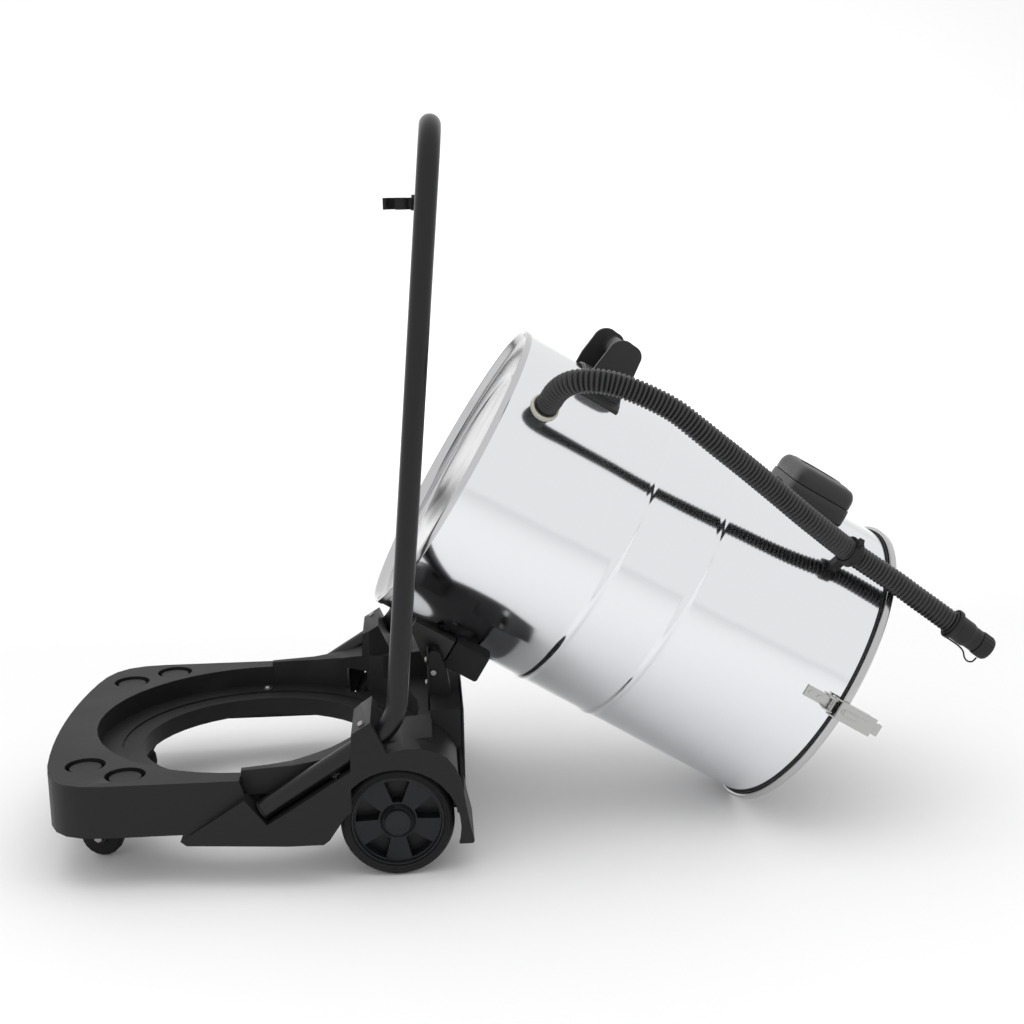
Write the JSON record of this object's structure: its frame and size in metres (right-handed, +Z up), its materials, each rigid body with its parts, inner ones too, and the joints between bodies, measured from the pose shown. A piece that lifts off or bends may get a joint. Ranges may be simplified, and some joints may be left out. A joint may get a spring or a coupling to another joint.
{
  "type": "shop vacuum",
  "caption": "Wet and dry shop vacuum with its head off: a wheeled black trolley with a push handle and a steel tank tipped on a rear hinge, with drain hose, inlet and latches.",
  "frame": {"origin": "middle of the footprint on the floor, with the drain hose left out", "axes": "+X from the trolley's front casters towards the tipped tank's mouth, +Y across the machine, away from the side the drain hose is on, +Z up"},
  "size_m": [1.3239, 0.562, 0.9939],
  "materials": {
    "moulded_black": "black moulded polypropylene with a fine grain",
    "panel_black": "black moulded plastic, a little smoother",
    "gloss_tube": "black gloss paint on bent steel tube",
    "tread_rubber": "black solid rubber",
    "mirror_steel": "stainless steel sheet, polished almost to a mirror",
    "zinc_steel": "zinc plated steel",
    "black_steel": "black painted steel",
    "hose_black": "black flexible ribbed plastic hose and its fittings",
    "pale_seal": "pale rubber seal"
  },
  "bodies": {
    "trolley": {"trolley_base": "moulded_black", "rear_panel": "panel_black", "hinge_plate": "black_steel", "hinge_pin": "zinc_steel", "hinge_screw_1": "zinc_steel", "hinge_screw_2": "zinc_steel", "hinge_screw_3": "zinc_steel", "hinge_screw_4": "zinc_steel", "seat_screw_near": "zinc_steel", "seat_screw_far": "zinc_steel", "push_handle": "gloss_tube", "handle_plug_near": "moulded_black", "handle_plug_far": "moulded_black", "clamp_screw_near": "zinc_steel", "clamp_screw_far": "zinc_steel", "wand_clip": "moulded_black", "rear_axle": "zinc_steel", "caster_race_near": "zinc_steel", "caster_race_far": "zinc_steel"},
    "rear_wheel_near": {"rear_wheel_near": "panel_black", "rear_tyre_near": "tread_rubber", "hub_cap_near": "panel_black"},
    "caster_near": {"caster_fork_near": "black_steel", "caster_bolt_near": "zinc_steel"},
    "caster_wheel_near": {"caster_wheel_near": "tread_rubber"},
    "rear_wheel_far": {"rear_wheel_far": "panel_black", "rear_tyre_far": "tread_rubber", "hub_cap_far": "panel_black"},
    "caster_far": {"caster_fork_far": "black_steel", "caster_bolt_far": "zinc_steel"},
    "caster_wheel_far": {"caster_wheel_far": "tread_rubber"},
    "tank": {"tank_shell": "mirror_steel", "tank_bottom": "mirror_steel", "rim_band": "mirror_steel", "rim_gasket": "moulded_black", "hinge_bracket": "zinc_steel", "hinge_block": "moulded_black", "block_screw_1": "black_steel", "block_screw_2": "black_steel", "tilt_handle": "moulded_black", "inlet_base": "moulded_black", "inlet_cover": "moulded_black", "inlet_socket": "moulded_black", "inlet_deflector": "moulded_black", "drain_stub": "moulded_black", "drain_seal": "pale_seal", "drain_nut": "moulded_black", "hose_clip": "moulded_black", "drain_hose": "hose_black", "hose_cuff": "hose_black", "cap_strap": "hose_black", "latch_base_near": "zinc_steel", "latch_base_far": "zinc_steel"},
    "latch_lever_near": {"latch_lever_near": "zinc_steel"},
    "latch_hook_near": {"latch_hook_near": "zinc_steel"},
    "latch_lever_far": {"latch_lever_far": "zinc_steel"},
    "latch_hook_far": {"latch_hook_far": "zinc_steel"},
    "drain_cap": {"drain_cap": "hose_black"}
  },
  "joints": [
    {"name": "tank_tilt", "type": "hinge", "parent": "trolley", "child": "tank", "pos_m": [-0.0697, 0, 0.234], "axis": [0, -1, 0], "range_deg": [0, 121]},
    {"name": "rear_wheel_spin_near", "type": "hinge", "parent": "trolley", "child": "rear_wheel_near", "pos_m": [-0.1232, -0.233, 0.076], "axis": [0, 1, 0], "continuous": true},
    {"name": "caster_swivel_near", "type": "hinge", "parent": "trolley", "child": "caster_near", "pos_m": [-0.5142, -0.142, 0.06], "axis": [0, 0, 1], "continuous": true},
    {"name": "caster_roll_near", "type": "hinge", "parent": "caster_near", "child": "caster_wheel_near", "pos_m": [-0.53376, -0.13784, 0.03], "axis": [0.2079, 0.9781, 0], "continuous": true},
    {"name": "rear_wheel_spin_far", "type": "hinge", "parent": "trolley", "child": "rear_wheel_far", "pos_m": [-0.1232, 0.233, 0.076], "axis": [0, 1, 0], "continuous": true},
    {"name": "caster_swivel_far", "type": "hinge", "parent": "trolley", "child": "caster_far", "pos_m": [-0.5142, 0.142, 0.06], "axis": [0, 0, 1], "continuous": true},
    {"name": "caster_roll_far", "type": "hinge", "parent": "caster_far", "child": "caster_wheel_far", "pos_m": [-0.53376, 0.13784, 0.03], "axis": [-0.2079, 0.9781, 0], "continuous": true},
    {"name": "latch_lever_near_turn", "type": "hinge", "parent": "tank", "child": "latch_lever_near", "pos_m": [0.47068, -0.2315, 0.20622], "axis": [-0.515, 0, -0.8572], "range_deg": [0, 130]},
    {"name": "latch_hook_near_turn", "type": "hinge", "parent": "latch_lever_near", "child": "latch_hook_near", "pos_m": [0.49467, -0.2329, 0.1918], "axis": [-0.515, 0, -0.8572], "range_deg": [-60, 0]},
    {"name": "latch_lever_far_turn", "type": "hinge", "parent": "tank", "child": "latch_lever_far", "pos_m": [0.47068, 0.2315, 0.20622], "axis": [0.515, 0, 0.8572], "range_deg": [0, 130]},
    {"name": "latch_hook_far_turn", "type": "hinge", "parent": "latch_lever_far", "child": "latch_hook_far", "pos_m": [0.49467, 0.2329, 0.1918], "axis": [0.515, 0, 0.8572], "range_deg": [-60, 0]},
    {"name": "drain_cap_turn", "type": "hinge", "parent": "tank", "child": "drain_cap", "pos_m": [0.65105, -0.16725, 0.3006], "axis": [0.7991, -0.026, -0.6006], "range_deg": [0, 360]}
  ]
}
